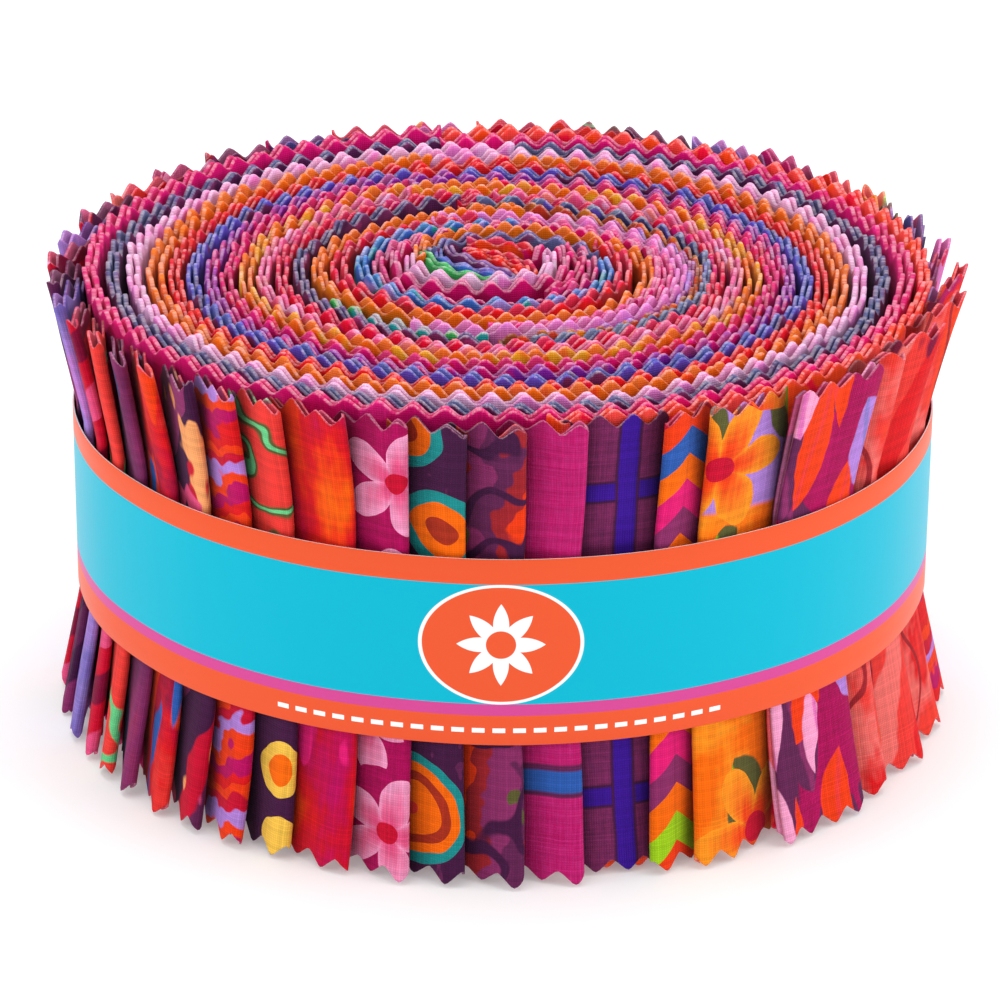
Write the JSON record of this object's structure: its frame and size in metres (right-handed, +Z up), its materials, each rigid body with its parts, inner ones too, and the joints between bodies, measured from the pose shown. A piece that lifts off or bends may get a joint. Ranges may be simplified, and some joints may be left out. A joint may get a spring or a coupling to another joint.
{
  "type": "roll of quilting fabric strips",
  "caption": "Wound roll of folded quilting cotton strips with pinked edges, overlapping loose strip ends round the outside and a plain paper band round the waist.",
  "frame": {"origin": "middle of the lower wound end, on the surface that the roll stands on", "axes": "+Z up along the roll's winding axis, -Y towards the front of the band, +X to the right seen from the front"},
  "size_m": [0.1218, 0.1204, 0.0635],
  "materials": {
    "wound_cotton": "matt woven cotton, many colours, pinked edges",
    "plum_cotton": "matt printed quilting cotton, dark plum",
    "lilac_cotton": "matt printed quilting cotton, lilac",
    "violet_cotton": "matt printed quilting cotton, blue violet",
    "crimson_cotton": "matt printed quilting cotton, crimson",
    "rust_cotton": "matt printed quilting cotton, rust red",
    "coral_cotton": "matt printed quilting cotton, coral red",
    "magenta_cotton": "matt printed quilting cotton, magenta",
    "orange_cotton": "matt printed quilting cotton, orange",
    "pink_cotton": "matt printed quilting cotton, pale pink",
    "band_paper": "smooth coated paper, satin"
  },
  "bodies": {
    "root": {"wound_core": "wound_cotton", "strip_end_01": "plum_cotton", "strip_end_02": "lilac_cotton", "strip_end_03": "crimson_cotton", "strip_end_04": "coral_cotton", "strip_end_05": "rust_cotton", "strip_end_06": "crimson_cotton", "strip_end_07": "plum_cotton", "strip_end_08": "crimson_cotton", "strip_end_09": "coral_cotton", "strip_end_10": "crimson_cotton", "strip_end_11": "magenta_cotton", "strip_end_12": "plum_cotton", "strip_end_13": "rust_cotton", "strip_end_14": "magenta_cotton", "strip_end_15": "plum_cotton", "strip_end_16": "orange_cotton", "strip_end_17": "orange_cotton", "strip_end_18": "magenta_cotton", "strip_end_19": "coral_cotton", "strip_end_20": "coral_cotton", "strip_end_21": "coral_cotton", "strip_end_22": "crimson_cotton", "strip_end_23": "pink_cotton", "strip_end_24": "violet_cotton", "strip_end_25": "orange_cotton", "strip_end_26": "crimson_cotton", "strip_end_27": "magenta_cotton", "strip_end_28": "lilac_cotton", "strip_end_29": "plum_cotton", "strip_end_30": "coral_cotton", "strip_end_31": "orange_cotton", "strip_end_32": "pink_cotton", "strip_end_33": "crimson_cotton", "strip_end_34": "violet_cotton", "strip_end_35": "rust_cotton", "strip_end_36": "magenta_cotton", "strip_end_37": "coral_cotton", "strip_end_38": "plum_cotton", "strip_end_39": "lilac_cotton", "strip_end_40": "crimson_cotton", "paper_band": "band_paper"}
  },
  "joints": []
}
